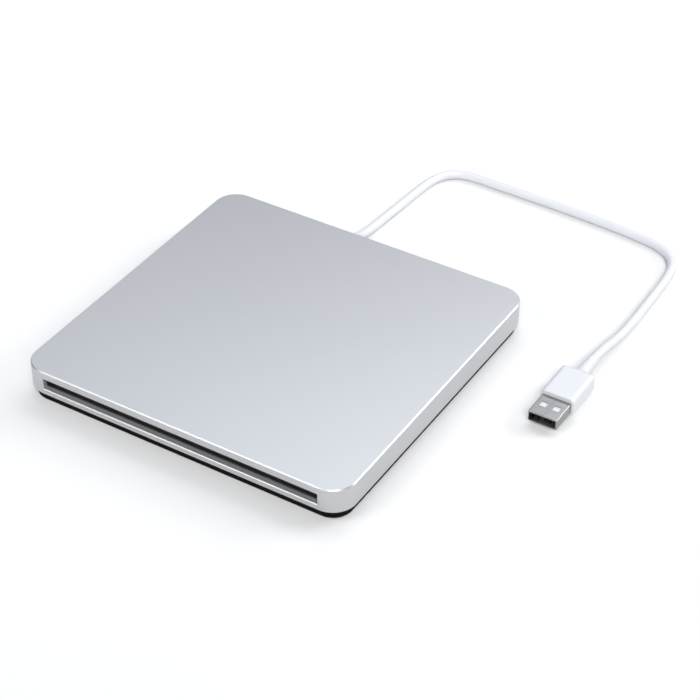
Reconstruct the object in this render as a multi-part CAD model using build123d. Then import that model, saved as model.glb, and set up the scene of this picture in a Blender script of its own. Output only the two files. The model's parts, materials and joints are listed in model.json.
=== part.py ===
from build123d import *
import math
import os

os.makedirs("parts", exist_ok=True)

# External slot-loading optical drive. Millimetres, +Z up, slot on the -Y side, origin on the table under
# the middle of the case. The drive unit, its loading gear and the tilting pickup unit are all inside.

# --- case ---------------------------------------------------------------------------------------
CASE_W = 142.0          # X
CASE_D = 138.5          # Y
CASE_H = 15.0           # Z, from the table to the top face
CORNER_R = 9.6
SHELL_Z = 4.4           # lower rim of the aluminium shell
SIDE_WALL = 1.6
FRONT_WALL = 2.2
TOP_WALL = 1.1
EDGE_CHAMFER = 0.4
SLOT_W = 121.3
SLOT_Z = (6.9, 11.6)
SLOT_BEVEL = 0.25
FELT_Z = ((6.35, 7.15), (11.35, 13.2))
COVER_Z = 0.4           # underside of the black cover; the rubber pad stands below it
COVER_INSET = 1.4
COVER_ROUND = 1.0
COVER_FLOOR = 1.8       # top of the cover's floor
COVER_LIP_Z = 6.2       # top of the lip that fits inside the shell
PAD_W, PAD_D, PAD_TOP = 120.0, 116.5, 1.0
PAD_R = 7.0
LIP_FIT = 0.15          # between the cover's lip and the shell
BOSS_X = 66.8           # screw bosses between the drive unit and the shell wall
CASE_SCREW_Y = (-50.0, 54.0)
CASE_BOSS_R, CASE_BOSS_Z = 2.3, 6.4         # Z is the bosses' lower end
CASE_SCREW_R, CASE_HEAD_R, CASE_SEAT_Z = 0.8, 1.8, 2.1
BRACKET_Y = (-26.0, 26.0)
BRACKET_BOSS_R, BRACKET_BOSS_Z = 2.0, 7.6
BRACKET_SCREW_R = 0.75
GROMMET_R, GROMMET_GAP = 3.1, 0.05

# --- drive unit -----------------------------------------------------------------------------------
SHEET = 0.6             # sheet steel
UNIT_W = 128.0
UNIT_Y = (-64.8, 60.0)
UNIT_FLOOR = 2.6        # top of the chassis floor
UNIT_TOP = 12.0         # top of the chassis walls, where the lid lies
UNIT_X = UNIT_W / 2
INNER_X = UNIT_X - SHEET
COLUMN_X = 62.1         # columns in the chassis' corners, for the lid's screws
COLUMN_Y = (-60.5, 56.0)
SIDE_SCREW_Z = 4.6      # screws through the brackets into the chassis' walls
SIDE_SCREW_R = 0.8
BRACKET_Z = (6.5, 7.1)  # the brackets' shelves
BRACKET_HALF = 34.0     # half the brackets' length
DISC_Y = -4.0           # the disc's centre is at (0, DISC_Y)
GAP = 0.05              # running clearance on pins and shafts

# --- loading gear ---------------------------------------------------------------------------------
STROKE = 12.0           # travel of both sliders
PLATE_Z = (2.7, 3.7)    # both sliders
PIN_R = 1.0
PIN_SLOT = 1.2          # half the width of a slot that a lever pin runs in
RACK_X = 53.0           # pitch line of the rack on the main slider
GEAR_Y = 12.0
PINION_M, PINION_T = 0.5, 16
WHEEL_M, WHEEL_T = 0.4, 36
WHEEL_Z = (4.5, 5.9)
WORM_PITCH_R = 1.9
WORM_Z = 5.2
WORM_SHAFT = 15.0
GEAR_X = RACK_X - PINION_M * PINION_T / 2
WORM_X = GEAR_X - WHEEL_M * WHEEL_T / 2 - WORM_PITCH_R
GEAR_PIN_R = 0.8
MOTOR_R, MOTOR_TOP = 3.6, 7.65
MOTOR_Y = (-7.0, 5.0)
CLIP_Y = (-4.5, 1.5)
LINK_AT = (44.0, 40.0)  # pivots of the levers
LINK_R = 12.0           # pin radius; the link and the eject lever turn 60 degrees
EJECT_AT = (-54.0, 50.0)
LOAD_AT = (52.0, -24.0)
LOAD_R = 17.5           # pin radius; the loading lever turns 40 degrees
LINK_Z = (3.95, 4.95)
ARM_Z = (6.4, 7.4)
PIVOT_R = 1.5
ROLLER_Z = (7.5, 11.0)
ROLLER_R, ROLLER_PIN_R = 1.3, 0.6
GUIDE_PINS = ((58.0, -16.0), (58.0, 24.0), (-30.0, 27.5), (24.0, 27.5))     # main slider's, cross slider's
GUIDE_R = 1.15
PIVOT_POSTS = ((LINK_AT, 3.9), (EJECT_AT, 6.3), (LOAD_AT, 6.3))             # each with its post's top

# --- pickup unit, in its own axes: X across, -Y from the spindle outwards, level as in play --------
UNIT_TURN = -45.0       # the unit lies diagonally, from the disc's centre to the front left corner
TILT = 1.8              # the spindle end lies this much lower while there is no disc
PIVOT_D = 67.0          # pivot axis, from the spindle
PIVOT_Z = 6.4
PIVOT_X = 10.7          # the two pivots, either side of the unit's middle
PIVOT_PIN_R = 0.7
PLATE_UNDER_Z = (4.55, 5.05)    # spindle base and screw bracket, under the frame
FRAME_Z = (5.05, 5.65)
FRAME_HALF = 19.4       # half the frame's width
ROD_X, ROD_Z, ROD_R = 15.5, 5.9, 1.0
ROD_Y = (-66.2, -9.8)
LENS_IN = 23.5          # lens to spindle at the inner stop, where it rests
SLED_TRAVEL = 35.0
SLED_Z = (4.3, 7.3)
SCREW_X, SCREW_Z = 21.6, 6.6
SCREW_PITCH = 2.0
SCREW_TURNS = 22
SCREW_CORE_R, SCREW_TIP_R = 0.7, 1.1
SCREW_OUTER_END = -60.1
LIFT_PIN = (2.0, 6.7)   # x and z of the pin that the cross slider lifts, in play
LIFT_PIN_R = 0.8
CAM_WALL = (20.4, 21.4)
CAM_HALF = 0.96         # half the width of the cam slot
DISC_Z = 8.4            # underside of a disc in play
CUP_R, CUP_WALL, CUP_TOP = 12.0, 0.6, 7.4
TABLE_R, TABLE_TOP = 13.5, 7.9
SHAFT_R = 1.0
BEARING_R = 2.4
POLES = 9

# --- boards ---------------------------------------------------------------------------------------
BOARD_T = 0.8
BOARD_Z = 4.4           # underside of the main board
BOARD_X = (-32.0, 30.0)
BOARD_Y = (36.0, 58.8)
BOARD_POSTS = ((-29.0, 56.0), (27.0, 56.0))
DRIVE_PLUG_X = (-6.0, 24.0)
BRIDGE_Z = 8.5          # underside of the bridge board
CHIP_H = 0.9

# --- cord and plug --------------------------------------------------------------------------------
CORD_D = 3.8
CORD_EXIT_X, CORD_EXIT_Z = -15.2, 5.4
PLUG_X, PLUG_Z = 105.3, 4.0
PLUG_FRONT, MOULD_FRONT, MOULD_REAR, NECK_END = 15.8, 27.6, 45.8, 58.2
MOULD_W, MOULD_H = 14.0, 8.0
SHELL_W, SHELL_H, SHELL_WALL = 12.0, 4.5, 0.3
SHELL_LIP = 0.5                 # the sheet turns in by this much at the mouth
SHELL_REAR = MOULD_FRONT + 6    # the shell's end inside the moulding
WINDOW_X, WINDOW_HALF = 2.7, 1.4
WINDOW_Y = (PLUG_FRONT + 5.0, PLUG_FRONT + 7.7)
SEAM_HALF, SEAM_DEPTH = 0.07, 0.15
TONGUE_T = 1.9
TONGUE_FRONT = PLUG_FRONT + 2.6
CORD_ROUTE = [          # from the strain relief behind the case to the plug's neck
    (-15.2, 72.5, 5.4), (-15.2, 77.0, 5.4), (-15.0, 85.0, 2.3), (-14.3, 95.0, 1.9), (-13.4, 109.0, 1.9),
    (-12.4, 125.0, 1.9), (-11.4, 136.5, 1.9), (-7.9, 145.0, 1.9), (0.0, 149.0, 1.9), (13.0, 148.6, 1.9),
    (36.0, 148.3, 1.9), (63.0, 147.2, 1.9), (84.0, 145.4, 1.9), (96.4, 143.0, 1.9), (104.2, 136.0, 1.9),
    (106.3, 125.4, 1.9), (106.7, 108.0, 1.9), (106.3, 88.0, 1.9), (105.9, 76.0, 2.1), (105.3, 66.0, 4.0),
    (105.3, 58.2, 4.0),
]


def block(x, y, z):
    """Box from three (low, high) pairs."""
    size = [high - low for low, high in (x, y, z)]
    middle = [(high + low) / 2 for low, high in (x, y, z)]
    return Pos(*middle) * Box(*size)


def post(x, y, z, r):
    """Upright cylinder; z is (low, high)."""
    return Pos(x, y, (z[0] + z[1]) / 2) * Cylinder(r, z[1] - z[0])


def rod_x(x, y, z, r):
    return Pos((x[0] + x[1]) / 2, y, z) * Rot(0, 90, 0) * Cylinder(r, x[1] - x[0])


def rod_y(x, y, z, r):
    return Pos(x, (y[0] + y[1]) / 2, z) * Rot(90, 0, 0) * Cylinder(r, y[1] - y[0])


def rounded(w, d, r, z, x=0.0, y=0.0):
    """Prism on a rounded rectangle."""
    return extrude(Plane.XY.offset(z[0]) * Pos(x, y) * RectangleRounded(w, d, r), amount=z[1] - z[0])


def prism(points, z):
    """Prism on a polygon."""
    face = make_face(Polyline(*points, close=True))
    return extrude(Plane.XY.offset(z[0]) * face, amount=z[1] - z[0])


def slot_x(x, y, z, r):
    """Prism on a slot along X with round ends; x gives the centres of the ends."""
    return post(x[0], y, z, r) + post(x[1], y, z, r) + block(x, (y - r, y + r), z)


def slot_y(x, y, z, r):
    """Prism on a slot along Y with round ends; y gives the centres of the ends."""
    return post(x, y[0], z, r) + post(x, y[1], z, r) + block((x - r, x + r), y, z)


def group(pieces):
    return Compound(children=list(pieces))


def screw(x, y, z, length, r, head_r, head_h, up=True):
    """Pan-head screw; z is the bearing face under its head, and up says that the head is on top."""
    side = 1 if up else -1
    shank = post(x, y, sorted((z, z - side * length)), r)
    head = post(x, y, sorted((z, z + side * head_h)), head_r)
    recess = post(x, y, sorted((z + side * head_h, z + side * head_h * 0.4)), head_r * 0.45)
    return shank + head - recess


# --- places of the pickup unit --------------------------------------------------------------------
LEVEL = Pos(0, DISC_Y, 0) * Rot(0, 0, UNIT_TURN)
LOWERED = Pos(0, -PIVOT_D, PIVOT_Z) * Rot(-TILT, 0, 0) * Pos(0, PIVOT_D, -PIVOT_Z)
AT_REST = LEVEL * LOWERED


def pickup_place(piece):
    """From the pickup unit's own axes to where it lies at rest."""
    return AT_REST * piece


# --- case -----------------------------------------------------------------------------------------
def top_shell():
    shell = rounded(CASE_W, CASE_D, CORNER_R, (SHELL_Z, CASE_H))
    shell = chamfer(shell.faces().sort_by(Axis.Z)[-1].edges(), EDGE_CHAMFER)
    shell = chamfer(shell.faces().sort_by(Axis.Z)[0].edges(), 0.25)
    inner_w = CASE_W - 2 * SIDE_WALL
    inner_d = CASE_D - FRONT_WALL - SIDE_WALL
    shell -= rounded(inner_w, inner_d, CORNER_R - SIDE_WALL, (SHELL_Z - 1, CASE_H - TOP_WALL),
                     y=(FRONT_WALL - SIDE_WALL) / 2)
    front = -CASE_D / 2
    slot = block((-SLOT_W / 2, SLOT_W / 2), (front - 1, front + FRONT_WALL + 1), SLOT_Z)
    slot_h = SLOT_Z[1] - SLOT_Z[0]
    sections = []
    for depth, grow in ((-0.1, SLOT_BEVEL + 0.1), (SLOT_BEVEL, 0)):
        place = Plane.XZ.offset(-front - depth) * Pos(0, sum(SLOT_Z) / 2)
        sections.append(place * Rectangle(SLOT_W + 2 * grow, slot_h + 2 * grow))
    bevel = loft(sections)
    shell = shell - slot - bevel
    for side in (-1, 1):
        wall = side * (CASE_W / 2 - SIDE_WALL)
        for y in CASE_SCREW_Y:
            shell += shell_boss(side, y, wall, CASE_BOSS_R, CASE_BOSS_Z)
            shell -= post(side * BOSS_X, y, (CASE_BOSS_Z - 1, 12), CASE_SCREW_R)
        for y in BRACKET_Y:
            shell += shell_boss(side, y, wall, BRACKET_BOSS_R, BRACKET_BOSS_Z)
            shell -= post(side * BOSS_X, y, (BRACKET_BOSS_Z - 1, 11.5), BRACKET_SCREW_R)
    return shell - cord_hole()


def shell_boss(side, y, wall, r, low):
    """Screw boss that hangs from the shell's top and joins its side wall."""
    z = (low, CASE_H - TOP_WALL)
    return post(side * BOSS_X, y, z, r) + block(sorted((side * BOSS_X, wall)), (y - r, y + r), z)


def cord_hole():
    return rod_y(CORD_EXIT_X, (CASE_D / 2 - 8, CASE_D / 2 + 2), CORD_EXIT_Z, GROMMET_R + GROMMET_GAP)


def bottom_cover():
    w, d = CASE_W - 2 * COVER_INSET, CASE_D - 2 * COVER_INSET
    cover = rounded(w, d, CORNER_R - COVER_INSET, (COVER_Z, SHELL_Z))
    cover = fillet(cover.faces().sort_by(Axis.Z)[0].edges(), COVER_ROUND)
    lip_w = CASE_W - 2 * (SIDE_WALL + LIP_FIT)
    lip_y = (-CASE_D / 2 + FRONT_WALL + LIP_FIT, CASE_D / 2 - SIDE_WALL - LIP_FIT)
    middle = sum(lip_y) / 2
    depth = lip_y[1] - lip_y[0]
    lip_r = CORNER_R - SIDE_WALL - LIP_FIT
    wall = 1.2
    cover += rounded(lip_w, depth, lip_r, (SHELL_Z - 0.5, COVER_LIP_Z), y=middle)
    cover -= rounded(lip_w - 2 * wall, depth - 2 * wall, 5.0, (COVER_FLOOR, 8), y=middle)
    cover -= rounded(PAD_W, PAD_D, PAD_R, (COVER_Z - 0.2, PAD_TOP))
    for side in (-1, 1):
        for y in CASE_SCREW_Y:
            cover += post(side * BOSS_X, y, (COVER_Z + 0.2, COVER_LIP_Z), CASE_BOSS_R)
            cover += block(sorted((side * BOSS_X, side * (BOSS_X + 2))), (y - CASE_BOSS_R, y + CASE_BOSS_R),
                           (COVER_FLOOR - 0.5, COVER_LIP_Z))
            cover -= post(side * BOSS_X, y, (0, 8), CASE_SCREW_R + 0.3)
            cover -= post(side * BOSS_X, y, (0, CASE_SEAT_Z), CASE_HEAD_R + 0.2)
    notch = GROMMET_R + GROMMET_GAP
    cover -= cord_hole() + block((CORD_EXIT_X - notch, CORD_EXIT_X + notch), (60, 72), (CORD_EXIT_Z, 8))
    return cover


def base_pad():
    pad = rounded(PAD_W, PAD_D, PAD_R, (0, PAD_TOP))
    return fillet(pad.faces().sort_by(Axis.Z)[0].edges(), 0.3)


def case_screws():
    return group(screw(side * BOSS_X, y, CASE_SEAT_Z, 8.6, CASE_SCREW_R, CASE_HEAD_R, 1.1, up=False)
                 for side in (-1, 1) for y in CASE_SCREW_Y)


def slot_felts():
    """Dust strips glued behind the slot, one above and one below it."""
    inner = -CASE_D / 2 + FRONT_WALL
    x = (-SLOT_W / 2 - 0.5, SLOT_W / 2 + 0.5)
    return group(block(x, (inner, inner + 0.6), z) for z in FELT_Z)


# --- drive unit's box -----------------------------------------------------------------------------
def drive_chassis():
    floor = (UNIT_FLOOR - SHEET, UNIT_FLOOR)
    tray = block((-UNIT_X, UNIT_X), UNIT_Y, floor)
    for side in (-1, 1):
        tray += block(sorted((side * INNER_X, side * UNIT_X)), UNIT_Y, (floor[0], UNIT_TOP))
        for y in COLUMN_Y:
            tray += post(side * COLUMN_X, y, (floor[0], UNIT_TOP), 1.5)
            tray -= post(side * COLUMN_X, y, (8, UNIT_TOP + 1), 0.6)
        for y in BRACKET_Y:
            tray -= rod_x(sorted((side * (UNIT_X - 2), side * (UNIT_X + 1))), y, SIDE_SCREW_Z,
                          SIDE_SCREW_R + GAP)
    tray += block((-UNIT_X, UNIT_X), (UNIT_Y[0], UNIT_Y[0] + SHEET), (floor[0], 6.3))
    tray += block((-UNIT_X, UNIT_X), (UNIT_Y[1] - SHEET, UNIT_Y[1]), (floor[0], UNIT_TOP))
    tray -= block((DRIVE_PLUG_X[0] - 0.3, DRIVE_PLUG_X[1] + 0.3), (58, 61), (4.6, 8.5))
    window = prism([(-18.5, 21), (18, 21), (18, 3), (26.5, 3), (26.5, -16), (24.5, -16), (24.5, -56),
                    (-20, -56), (-20, 0), (-18.5, 0)], (0, 4))
    tray -= LEVEL * window
    for at, level in PIVOT_POSTS:
        tray += post(*at, (floor[0], level), 2.1)
    for x, y in BOARD_POSTS:
        tray += post(x, y, (floor[0], BOARD_Z), 1.4)
        tray -= post(x, y, (UNIT_FLOOR + 0.2, BOARD_Z + 1), 0.55)
    for side in (-1, 1):
        x = side * PIVOT_X
        lug = block((x - 1.4, x + 1.4), (-PIVOT_D - 1.1, -PIVOT_D + 1.1), (UNIT_FLOOR - 0.3, PIVOT_Z + 0.9))
        lug -= rod_x((x - 3, x + 3), -PIVOT_D, PIVOT_Z, PIVOT_PIN_R + GAP)
        tray += LEVEL * lug
    return tray


def drive_lid():
    """Lid with a dished clamp for the disc over the hub, stiffening ribs and side flanges."""
    lid = block((-UNIT_X, UNIT_X), UNIT_Y, (UNIT_TOP, UNIT_TOP + SHEET))
    dish = Pos(0, DISC_Y, 0)
    lid += dish * (Pos(0, 0, UNIT_TOP - 0.35) * Cylinder(18, 0.7))
    lid -= dish * (Pos(0, 0, UNIT_TOP + SHEET) * Cylinder(17.2, 1.4))
    lid -= dish * (Pos(0, 0, UNIT_TOP) * Cylinder(4.2, 4))
    for y in (-44.0, 12.0, 36.0):
        lid += rounded(84, 6, 2.9, (UNIT_TOP + SHEET, UNIT_TOP + SHEET + 0.35), y=y)
    flange_y = (-40, 44)
    for side in (-1, 1):
        outer = side * (UNIT_X + 0.5)
        lid += block(sorted((side * (UNIT_X + GAP), outer)), flange_y, (9.0, UNIT_TOP + SHEET))
        lid += block(sorted((side * (UNIT_X - 1), outer)), flange_y, (UNIT_TOP, UNIT_TOP + SHEET))
        for y in COLUMN_Y:
            lid -= post(side * COLUMN_X, y, (UNIT_TOP - 1, UNIT_TOP + 2), 0.8)
    return lid


def lid_screws():
    return group(screw(side * COLUMN_X, y, UNIT_TOP + SHEET, 3.4, 0.55, 1.4, 0.6)
                 for side in (-1, 1) for y in COLUMN_Y)


def drive_brackets():
    """Angle strips that carry the drive unit from the shell's bosses."""
    return group(drive_bracket(side) for side in (-1, 1))


def drive_bracket(side):
    y_range = (-BRACKET_HALF, BRACKET_HALF)
    bracket = block(sorted((side * UNIT_X, side * (UNIT_X + SHEET))), y_range, (3.2, BRACKET_Z[1]))
    bracket += block(sorted((side * UNIT_X, side * 69.0)), y_range, BRACKET_Z)
    for y in BRACKET_Y:
        bracket -= post(side * BOSS_X, y, (6, 8), BRACKET_SCREW_R + 0.25)
        bracket -= rod_x(sorted((side * 62, side * 66)), y, SIDE_SCREW_Z, SIDE_SCREW_R + 0.1)
    return bracket


def bracket_bushes():
    """Washers between the brackets' shelves and the shell's bosses."""
    pieces = []
    for side in (-1, 1):
        for y in BRACKET_Y:
            washer = post(side * BOSS_X, y, (BRACKET_Z[1], BRACKET_BOSS_Z), 1.8)
            pieces.append(washer - post(side * BOSS_X, y, (7, 8), BRACKET_SCREW_R + 0.25))
    return group(pieces)


def bracket_screws():
    return group(screw(side * BOSS_X, y, BRACKET_Z[0], 4.6, BRACKET_SCREW_R, 1.2, 0.3, up=False)
                 for side in (-1, 1) for y in BRACKET_Y)


def chassis_screws():
    """Screws through the brackets into the chassis' side walls."""
    pieces = []
    seat = UNIT_X + SHEET
    for side in (-1, 1):
        for y in BRACKET_Y:
            shank = rod_x(sorted((side * (UNIT_X - 0.9), side * seat)), y, SIDE_SCREW_Z, SIDE_SCREW_R)
            head = rod_x(sorted((side * seat, side * (seat + 0.9))), y, SIDE_SCREW_Z, 1.5)
            recess = rod_x(sorted((side * (seat + 0.5), side * (seat + 1))), y, SIDE_SCREW_Z, 0.6)
            pieces.append(shank + head - recess)
    return group(pieces)


# --- loading gear ---------------------------------------------------------------------------------
def gear(module, teeth, z, share, root, tip, phase=0.0):
    """Spur gear with straight flanks; share is the tooth's part of the pitch at the pitch circle."""
    pitch_r = module * teeth / 2
    pitch = 2 * math.pi / teeth
    root_half, tip_half = (share + 0.2) * pitch / 2, (share - 0.2) * pitch / 2
    corners = ((pitch_r - root, -root_half), (pitch_r + tip, -tip_half),
               (pitch_r + tip, tip_half), (pitch_r - root, root_half))
    outline = []
    for i in range(teeth):
        middle = i * pitch + math.radians(phase)
        for r, aside in corners:
            outline.append((r * math.cos(middle + aside), r * math.sin(middle + aside)))
    return prism(outline, z)


def drive_gear():
    """Worm wheel and pinion in one moulding."""
    wheel = gear(WHEEL_M, WHEEL_T, WHEEL_Z, 0.36, 0.5, 0.35, phase=180 / WHEEL_T)
    pinion = gear(PINION_M, PINION_T, (2.75, WHEEL_Z[0] + 0.1), 0.36, 0.62, 0.45)
    whole = wheel + pinion - post(0, 0, (0, 9), GEAR_PIN_R + GAP)
    for i in range(4):
        whole -= Rot(0, 0, 45 + 90 * i) * post(4.6, 0, (5.2, 7), 1.1)
    return Pos(GEAR_X, GEAR_Y) * whole


def gear_pin():
    """Pin of the drive gear, with its retaining head."""
    pin = post(GEAR_X, GEAR_Y, (UNIT_FLOOR, 6.3), GEAR_PIN_R)
    return pin + post(GEAR_X, GEAR_Y, (WHEEL_Z[1] + 0.1, 6.4), 1.6)


def thread(pitch, turns, core_r, tip_r, foot, crest):
    """Helical ridge round +Z, starting at +X on the plane z = 0, on a core."""
    path = Helix(pitch=pitch, height=pitch * turns, radius=core_r)
    section = Plane(origin=(core_r, 0, 0), x_dir=(1, 0, 0), z_dir=(0, -1, 0))
    depth = tip_r - core_r
    root = -0.15
    corners = [(root, -foot / 2), (depth, -crest / 2), (depth, crest / 2), (root, foot / 2)]
    return sweep(section * make_face(Polyline(*corners, close=True)), path=path, is_frenet=True)


def motor_worm():
    """Worm on the loading motor's shaft, which runs on into the can."""
    pitch = math.pi * WHEEL_M
    turns = 7
    core_r = 1.35
    worm = post(0, 0, (0, pitch * (turns + 2)), core_r)
    worm += Pos(0, 0, pitch) * thread(pitch, turns, core_r, WORM_PITCH_R + 0.3, 0.5, 0.22)
    worm = Pos(0, 0, -pitch * (turns + 2) / 2) * worm
    worm += post(0, 0, (-WORM_SHAFT, 0), 0.5)
    return Pos(WORM_X, GEAR_Y + pitch / 2, WORM_Z) * Rot(-90, 0, 0) * worm


def loading_motor():
    flats = block((WORM_X - MOTOR_R, WORM_X + MOTOR_R), MOTOR_Y, (2.75, MOTOR_TOP))
    can = rod_y(WORM_X, MOTOR_Y, WORM_Z, MOTOR_R) & flats
    collar = rod_y(WORM_X, (MOTOR_Y[1], MOTOR_Y[1] + 0.6), WORM_Z, 1.6)
    shaft_hole = rod_y(WORM_X, (MOTOR_Y[0] + 0.5, MOTOR_Y[1] + 2), WORM_Z, 0.55)
    return can + collar - shaft_hole


def motor_clip():
    """Sheet saddle that holds the loading motor down."""
    top = MOTOR_TOP + 0.4
    inner, outer = MOTOR_R + 0.15, MOTOR_R + SHEET
    strap = block((WORM_X - outer, WORM_X + outer), CLIP_Y, (MOTOR_TOP, top))
    for side in (-1, 1):
        strap += block(sorted((WORM_X + side * inner, WORM_X + side * outer)), CLIP_Y, (UNIT_FLOOR, top))
    return strap


def main_slider():
    """Plate with the rack and the pin slots of the loading and link levers."""
    z = PLATE_Z
    rest_pin_y = LOAD_AT[1] - STROKE / 2
    plate = block((RACK_X + 0.62, 62.4), (-40, 37.6), z)
    plate += block((31.5, 60), (-40, -22.6), z)
    pin_x = LOAD_AT[0] - LOAD_R
    plate -= slot_x((pin_x - 0.2, pin_x + 1.3), rest_pin_y, z, PIN_SLOT)
    link_x = LINK_AT[0] + LINK_R
    plate -= slot_x((link_x - 1.8, link_x + 0.2), LINK_AT[1] - STROKE / 2, z, PIN_SLOT)
    plate -= slot_y(LOAD_AT[0], (LOAD_AT[1] - STROKE, LOAD_AT[1]), z, 2.5)
    for x, y in GUIDE_PINS[:2]:
        plate -= slot_y(x, (y - STROKE, y), z, GUIDE_R + 0.15)
    plate -= slot_x((38.5, 44.5), -31.5, z, 3.0)
    pitch = math.pi * PINION_M
    foot, crest = 0.56 * pitch / 2, 0.16 * pitch / 2
    root_x, tip_x = RACK_X + 0.7, RACK_X - 0.45
    for i in range(-11, 3):
        y = GEAR_Y + (i + 0.5) * pitch
        plate += prism([(root_x, y - foot), (tip_x, y - crest), (tip_x, y + crest), (root_x, y + foot)], z)
    return plate


def cam_slot():
    """Slanted slot in the cross slider's wall that lifts the pickup unit's pin."""
    low_z = rest_pin_z()
    x, z = LIFT_PIN
    run = math.hypot(STROKE, z - low_z)
    slope = math.degrees(math.atan2(z - low_z, -STROKE))
    outline = Pos(x - STROKE / 2, (z + low_z) / 2) * Rot(0, 0, slope) * SlotCenterToCenter(run, 2 * CAM_HALF)
    return extrude(Plane.XZ.offset(-sum(CAM_WALL) / 2) * outline, amount=2, both=True)


def rest_pin_z():
    """Height of the lift pin's middle at rest, inside the cam wall."""
    level = Vector(LIFT_PIN[0], sum(CAM_WALL) / 2, LIFT_PIN[1])
    inside = (LEVEL.inverse() * Pos(level)).position
    return (AT_REST * Pos(inside)).position.Z


def cross_slider():
    """Plate with the cam wall and the pin slots of the eject and link levers."""
    z = PLATE_Z
    plate = block((-58, 40.4), (24, 32.4), z)
    plate += block((-62, -46), (24, 42.5), z)
    pin_y = EJECT_AT[1] - LINK_R
    eject_x = EJECT_AT[0] - LINK_R / 2
    plate -= slot_y(eject_x, (pin_y - 0.2, pin_y + 1.8), z, PIN_SLOT)
    link_x = LINK_AT[0] - LINK_R / 2
    plate -= slot_y(link_x, (LINK_AT[1] - LINK_R - 0.2, LINK_AT[1] - LINK_R + 1.8), z, PIN_SLOT)
    for x, y in GUIDE_PINS[2:]:
        plate -= slot_x((x - STROKE, x), y, z, GUIDE_R + 0.15)
    cam_x = (-12.8, 4.8)
    plate += block(cam_x, (CAM_WALL[0], 25), z)
    plate += block(cam_x, CAM_WALL, (PLATE_Z[0], 8.0))
    return plate - cam_slot()


def slider_guides():
    """Headed pins pressed into the floor, which the sliders run on."""
    pieces = []
    for x, y in GUIDE_PINS:
        head_z = (PLATE_Z[1] + 0.1, PLATE_Z[1] + 0.5)
        pieces.append(post(x, y, (UNIT_FLOOR, head_z[0]), GUIDE_R) + post(x, y, head_z, 2.1))
    return group(pieces)


def at_angle(point, r, degrees):
    """Point at a distance and a direction from another."""
    turn = math.radians(degrees)
    return (point[0] + r * math.cos(turn), point[1] + r * math.sin(turn))


def bar(a, b, r, z):
    """Straight arm with round ends between two points."""
    (x0, y0), (x1, y1) = a, b
    length = math.hypot(x1 - x0, y1 - y0)
    turn = math.degrees(math.atan2(y1 - y0, x1 - x0))
    return Pos(x0, y0) * Rot(0, 0, turn) * slot_x((0, length), 0, z, r)


def lever(pivot, arms, z):
    """Flat lever on a pivot; arms are (end, half width)."""
    body = post(*pivot, z, 3.0)
    for end, half in arms:
        body += bar(pivot, end, half, z)
    return body - post(*pivot, (z[0] - 1, z[1] + 1), PIVOT_R + GAP)


LINK_PINS = (at_angle(LINK_AT, LINK_R, -30), at_angle(LINK_AT, LINK_R, -120))
EJECT_PIN = at_angle(EJECT_AT, LINK_R, -120)
EJECT_TIP = at_angle(EJECT_AT, 38.3, -52.5)
LOAD_PIN = at_angle(LOAD_AT, LOAD_R, 200)
LOAD_TIP = at_angle(LOAD_AT, 30.0, -75.5)


def link_lever():
    body = lever(LINK_AT, [(end, 2.0) for end in LINK_PINS], LINK_Z)
    for end in LINK_PINS:
        body += post(*end, (PLATE_Z[0] + 0.1, LINK_Z[1]), PIN_R)
    return body


def eject_lever():
    body = lever(EJECT_AT, [(EJECT_PIN, 2.0), (EJECT_TIP, 2.4)], ARM_Z)
    body += post(*EJECT_PIN, (PLATE_Z[0] + 0.1, ARM_Z[1]), PIN_R)
    body += post(*EJECT_TIP, (ARM_Z[0], ROLLER_Z[1] + 0.5), ROLLER_PIN_R)
    return body


def loading_lever():
    body = lever(LOAD_AT, [(LOAD_PIN, 2.0), (LOAD_TIP, 2.4)], ARM_Z)
    body += post(*LOAD_PIN, (PLATE_Z[0] + 0.1, ARM_Z[1]), PIN_R)
    body += post(*LOAD_TIP, (ARM_Z[0], ROLLER_Z[1] + 0.5), ROLLER_PIN_R)
    return body


def tip_roller(tip):
    """Waisted roller that the disc's edge runs in."""
    low, high = ROLLER_Z
    middle = (low + high) / 2
    r = ROLLER_R
    waist, bore = r - 0.35, ROLLER_PIN_R + GAP
    half = [(bore, low), (r, low), (r, low + 0.5), (waist, middle - 0.4), (waist, middle + 0.4),
            (r, high - 0.5), (r, high), (bore, high)]
    face = make_face(Polyline(*[(x, 0, z) for x, z in half], close=True))
    return Pos(*tip) * revolve(face, Axis.Z)


def lever_pivots():
    """Shouldered pins of the three levers."""
    pieces = []
    for (at, level), top in zip(PIVOT_POSTS, (LINK_Z[1], ARM_Z[1], ARM_Z[1])):
        pieces.append(post(*at, (level, top + 0.1), PIVOT_R) + post(*at, (top + 0.1, top + 0.5), 2.6))
    return group(pieces)


def eject_roller():
    return tip_roller(EJECT_TIP)


def loading_roller():
    return tip_roller(LOAD_TIP)


def disc_guide():
    """Grooved rail along the left wall that the disc's edge slides in."""
    inner = -60.6
    rail = block((-INNER_X, inner), (-56, 26), (7.0, 11.6))
    outline = Polyline((0.01, 8.2), (-1.0, 8.8), (-1.0, 9.7), (0.01, 10.3), close=True)
    groove = extrude(make_face(outline), amount=60, both=True)
    return rail - Pos(inner, 0, 0) * Rot(90, 0, 0) * groove


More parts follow.
